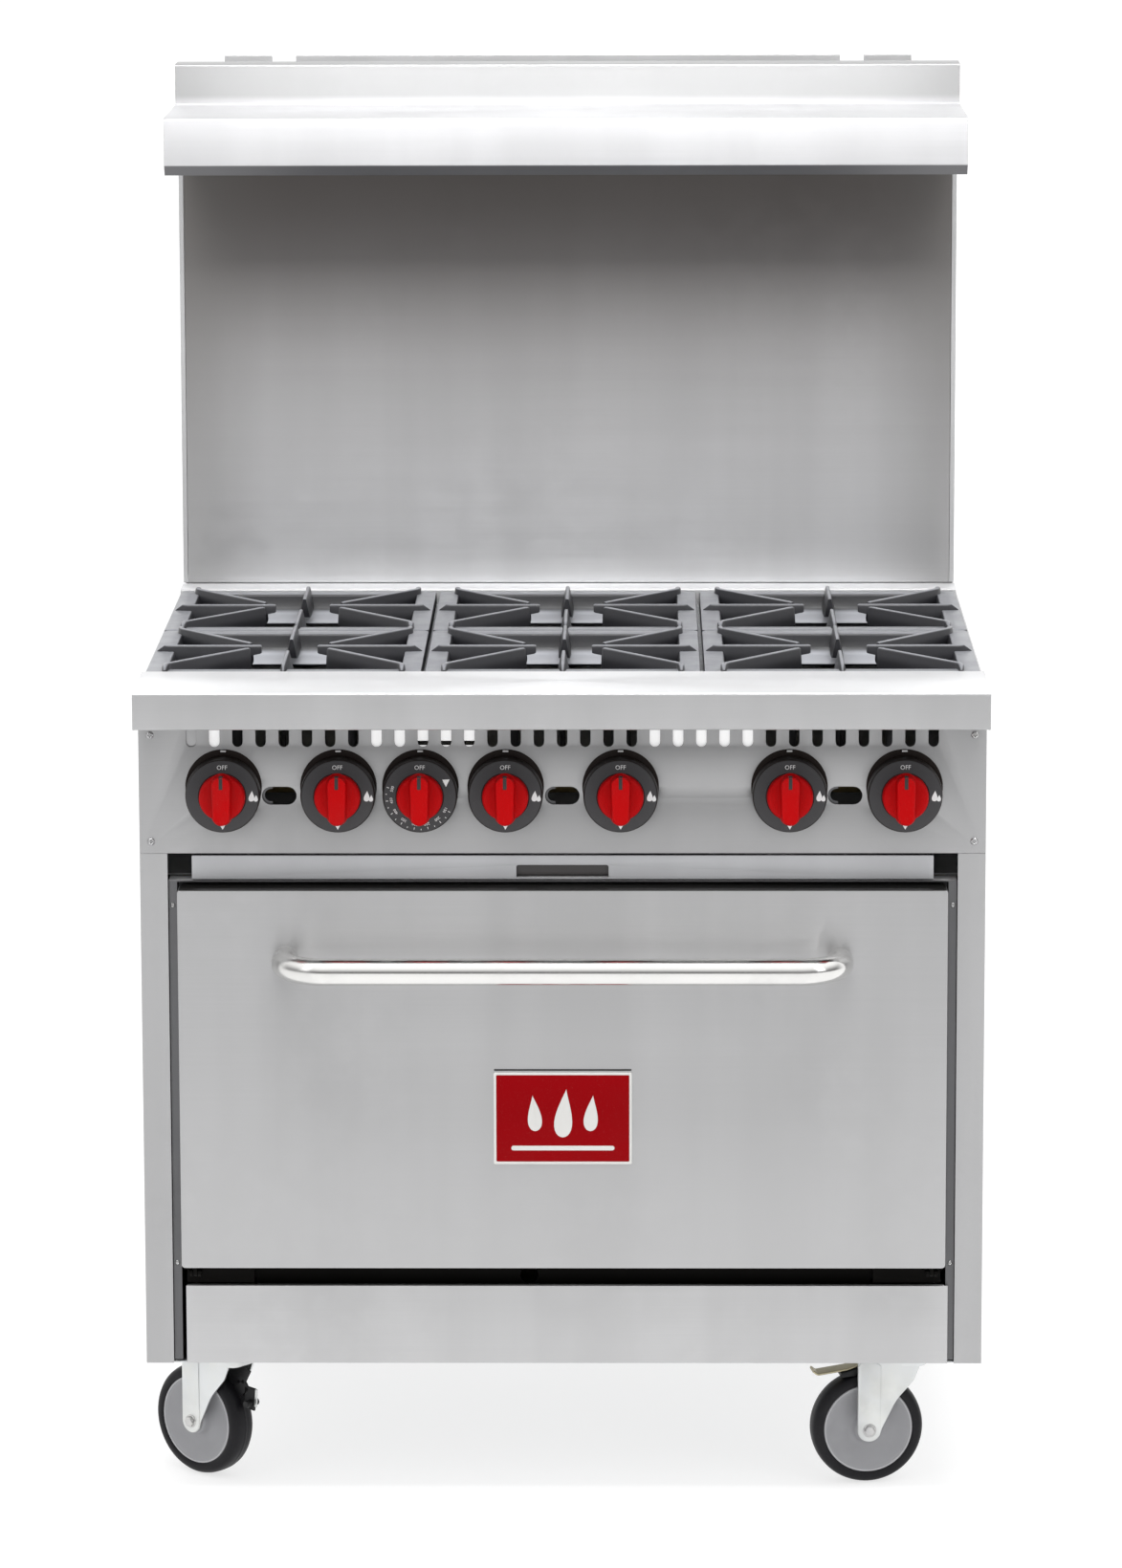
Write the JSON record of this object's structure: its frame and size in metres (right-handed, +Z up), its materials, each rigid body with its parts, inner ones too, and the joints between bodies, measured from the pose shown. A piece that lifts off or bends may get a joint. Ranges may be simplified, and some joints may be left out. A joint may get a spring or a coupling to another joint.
{
  "type": "commercial gas range",
  "caption": "Free-standing stainless commercial gas range on casters: cast-iron grates over open burners, front knobs, drop-down oven door, drip tray, flue riser and high shelf.",
  "frame": {"origin": "on the floor under the middle of the bounding box", "axes": "+X to the right seen from the front, +Y towards the back (the front faces -Y), +Z up"},
  "size_m": [0.9144, 0.852, 1.531],
  "materials": {
    "brushed_steel": "fine horizontal brushed grain, satin",
    "galvanised_steel": "dull aluminised sheet, matt",
    "dark_enamel": "dark blue-black vitreous enamel, semi-gloss",
    "cast_iron": "satin black coated iron casting",
    "polished_steel": "polished bar",
    "knob_plastic": "red grip on a dark grey skirt, satin",
    "badge_red": "red lacquered plate",
    "zinc_plate": "bright zinc plate, satin",
    "grey_plastic": "grey moulded nylon",
    "black_rubber": "black rubber, matt",
    "mineral_wool": "matted yellow mineral wool",
    "gas_brass": "cast brass valves on a painted steel pipe"
  },
  "bodies": {
    "range_body": {"side_panel_left": "brushed_steel", "side_panel_right": "brushed_steel", "back_panel": "galvanised_steel", "base_panel": "galvanised_steel", "kick_panel": "brushed_steel", "control_panel": "brushed_steel", "front_rail": "brushed_steel", "back_ledge": "brushed_steel", "grate_support_left": "galvanised_steel", "grate_support_right": "galvanised_steel", "riser_panel": "brushed_steel", "flue_duct": "brushed_steel", "high_shelf": "brushed_steel", "oven_cavity": "dark_enamel", "oven_deck": "dark_enamel", "oven_rack": "polished_steel", "oven_surround": "brushed_steel", "oven_insulation": "mineral_wool", "oven_burner": "cast_iron", "gas_manifold": "gas_brass", "oven_thermostat": "gas_brass", "burner_front_left": "cast_iron", "burner_front_centre": "cast_iron", "burner_front_right": "cast_iron", "burner_rear_left": "cast_iron", "burner_rear_centre": "cast_iron", "burner_rear_right": "cast_iron"},
    "oven_door": {"door_panel": "brushed_steel", "door_liner": "brushed_steel", "door_handle": "polished_steel", "door_badge": "badge_red", "door_hinge_bar": "zinc_plate"},
    "tray": {"drip_tray": "brushed_steel"},
    "knob_burner_1_body": {"knob_burner_1": "knob_plastic"},
    "knob_burner_2_body": {"knob_burner_2": "knob_plastic"},
    "knob_burner_3_body": {"knob_burner_3": "knob_plastic"},
    "knob_burner_4_body": {"knob_burner_4": "knob_plastic"},
    "knob_burner_5_body": {"knob_burner_5": "knob_plastic"},
    "knob_burner_6_body": {"knob_burner_6": "knob_plastic"},
    "knob_oven_body": {"knob_oven": "knob_plastic"},
    "grate_front_left_body": {"grate_front_left": "cast_iron"},
    "grate_front_centre_body": {"grate_front_centre": "cast_iron"},
    "grate_front_right_body": {"grate_front_right": "cast_iron"},
    "grate_rear_left_body": {"grate_rear_left": "cast_iron"},
    "grate_rear_centre_body": {"grate_rear_centre": "cast_iron"},
    "grate_rear_right_body": {"grate_rear_right": "cast_iron"},
    "caster_front_left": {"caster_fork_front_left": "zinc_plate"},
    "wheel_front_left": {"caster_wheel_front_left": "grey_plastic", "caster_tyre_front_left": "black_rubber"},
    "brake_front_left": {"brake_pedal_front_left": "zinc_plate"},
    "caster_front_right": {"caster_fork_front_right": "zinc_plate"},
    "wheel_front_right": {"caster_wheel_front_right": "grey_plastic", "caster_tyre_front_right": "black_rubber"},
    "brake_front_right": {"brake_pedal_front_right": "zinc_plate"},
    "caster_rear_left": {"caster_fork_rear_left": "zinc_plate"},
    "wheel_rear_left": {"caster_wheel_rear_left": "grey_plastic", "caster_tyre_rear_left": "black_rubber"},
    "caster_rear_right": {"caster_fork_rear_right": "zinc_plate"},
    "wheel_rear_right": {"caster_wheel_rear_right": "grey_plastic", "caster_tyre_rear_right": "black_rubber"}
  },
  "joints": [
    {"name": "oven_door_hinge", "type": "hinge", "parent": "range_body", "child": "oven_door", "pos_m": [0, -0.335, 0.26], "axis": [1, 0, 0], "range_deg": [0, 90], "stiffness_Nm_per_rad": 10, "springref_deg": -17.19},
    {"name": "drip_tray_slide", "type": "slide", "parent": "range_body", "child": "tray", "axis": [0, -1, 0], "range_m": [0, 0.5]},
    {"name": "knob_burner_1_turn", "type": "hinge", "parent": "range_body", "child": "knob_burner_1_body", "pos_m": [-0.3655, -0.329, 0.792], "axis": [0, -1, 0], "range_deg": [0, 180]},
    {"name": "knob_burner_2_turn", "type": "hinge", "parent": "range_body", "child": "knob_burner_2_body", "pos_m": [-0.2415, -0.329, 0.792], "axis": [0, -1, 0], "range_deg": [0, 180]},
    {"name": "knob_burner_3_turn", "type": "hinge", "parent": "range_body", "child": "knob_burner_3_body", "pos_m": [-0.061, -0.329, 0.792], "axis": [0, -1, 0], "range_deg": [0, 180]},
    {"name": "knob_burner_4_turn", "type": "hinge", "parent": "range_body", "child": "knob_burner_4_body", "pos_m": [0.063, -0.329, 0.792], "axis": [0, -1, 0], "range_deg": [0, 180]},
    {"name": "knob_burner_5_turn", "type": "hinge", "parent": "range_body", "child": "knob_burner_5_body", "pos_m": [0.245, -0.329, 0.792], "axis": [0, -1, 0], "range_deg": [0, 180]},
    {"name": "knob_burner_6_turn", "type": "hinge", "parent": "range_body", "child": "knob_burner_6_body", "pos_m": [0.369, -0.329, 0.792], "axis": [0, -1, 0], "range_deg": [0, 180]},
    {"name": "knob_oven_turn", "type": "hinge", "parent": "range_body", "child": "knob_oven_body", "pos_m": [-0.153, -0.329, 0.792], "axis": [0, -1, 0], "range_deg": [0, 300]},
    {"name": "grate_front_left_lift", "type": "slide", "parent": "range_body", "child": "grate_front_left_body", "axis": [0, 0, 1], "range_m": [0, 0.12]},
    {"name": "grate_front_centre_lift", "type": "slide", "parent": "range_body", "child": "grate_front_centre_body", "axis": [0, 0, 1], "range_m": [0, 0.12]},
    {"name": "grate_front_right_lift", "type": "slide", "parent": "range_body", "child": "grate_front_right_body", "axis": [0, 0, 1], "range_m": [0, 0.12]},
    {"name": "grate_rear_left_lift", "type": "slide", "parent": "range_body", "child": "grate_rear_left_body", "axis": [0, 0, 1], "range_m": [0, 0.12]},
    {"name": "grate_rear_centre_lift", "type": "slide", "parent": "range_body", "child": "grate_rear_centre_body", "axis": [0, 0, 1], "range_m": [0, 0.12]},
    {"name": "grate_rear_right_lift", "type": "slide", "parent": "range_body", "child": "grate_rear_right_body", "axis": [0, 0, 1], "range_m": [0, 0.12]},
    {"name": "caster_front_left_swivel", "type": "hinge", "parent": "range_body", "child": "caster_front_left", "pos_m": [-0.372, -0.247, 0.15], "axis": [0, 0, 1], "continuous": true},
    {"name": "wheel_front_left_spin", "type": "hinge", "parent": "caster_front_left", "child": "wheel_front_left", "pos_m": [-0.40153, -0.22309, 0.0625], "axis": [-0.6293, -0.7771, 0], "continuous": true},
    {"name": "brake_front_left_press", "type": "hinge", "parent": "caster_front_left", "child": "brake_front_left", "pos_m": [-0.3549, -0.26084, 0.1305], "axis": [0.6293, 0.7771, 0], "range_deg": [0, 6]},
    {"name": "caster_front_right_swivel", "type": "hinge", "parent": "range_body", "child": "caster_front_right", "pos_m": [0.372, -0.247, 0.15], "axis": [0, 0, 1], "continuous": true},
    {"name": "wheel_front_right_spin", "type": "hinge", "parent": "caster_front_right", "child": "wheel_front_right", "pos_m": [0.33437, -0.25229, 0.0625], "axis": [0.1392, -0.9903, 0], "continuous": true},
    {"name": "brake_front_right_press", "type": "hinge", "parent": "caster_front_right", "child": "brake_front_right", "pos_m": [0.32447, -0.25368, 0.1305], "axis": [0.1392, -0.9903, 0], "range_deg": [0, 6]},
    {"name": "caster_rear_left_swivel", "type": "hinge", "parent": "range_body", "child": "caster_rear_left", "pos_m": [-0.372, 0.342, 0.15], "axis": [0, 0, 1], "continuous": true},
    {"name": "wheel_rear_left_spin", "type": "hinge", "parent": "caster_rear_left", "child": "wheel_rear_left", "pos_m": [-0.353, 0.30909, 0.0625], "axis": [0.866, 0.5, 0], "continuous": true},
    {"name": "caster_rear_right_swivel", "type": "hinge", "parent": "range_body", "child": "caster_rear_right", "pos_m": [0.372, 0.342, 0.15], "axis": [0, 0, 1], "continuous": true},
    {"name": "wheel_rear_right_spin", "type": "hinge", "parent": "caster_rear_right", "child": "wheel_rear_right", "pos_m": [0.359, 0.30629, 0.0625], "axis": [0.9397, -0.342, 0], "continuous": true}
  ]
}
